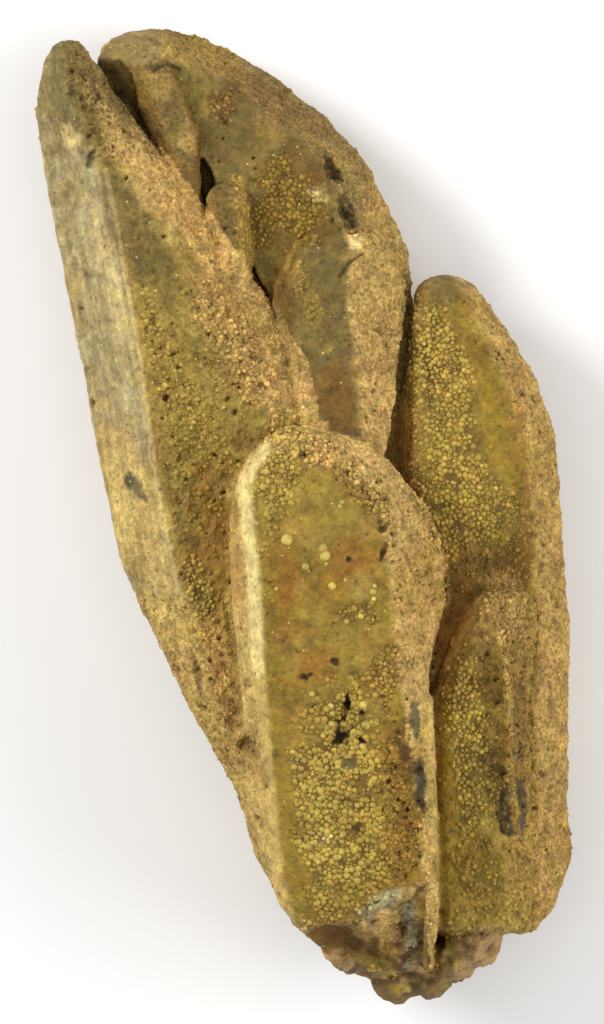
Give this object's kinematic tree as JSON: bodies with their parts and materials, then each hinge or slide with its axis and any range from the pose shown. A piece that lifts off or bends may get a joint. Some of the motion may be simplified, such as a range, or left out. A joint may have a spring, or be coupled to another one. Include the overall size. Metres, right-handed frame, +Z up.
{
  "type": "vanadinite mineral specimen",
  "caption": "Cluster of leaning six-sided crystals coated with an ochre to olive crust of small vanadinite globules, broken at its foot, lying on its back.",
  "frame": {"origin": "centre of the specimen's outline on the surface that it lies on", "axes": "+Y from the broken foot towards the crystals' tips, +X to the right of the front view, +Z up, out of the front of the specimen"},
  "size_m": [0.0538, 0.0984, 0.0344],
  "materials": {
    "ochre_crust": "matte"
  },
  "bodies": {
    "root": {"crystal_cluster": "ochre_crust"}
  },
  "joints": []
}
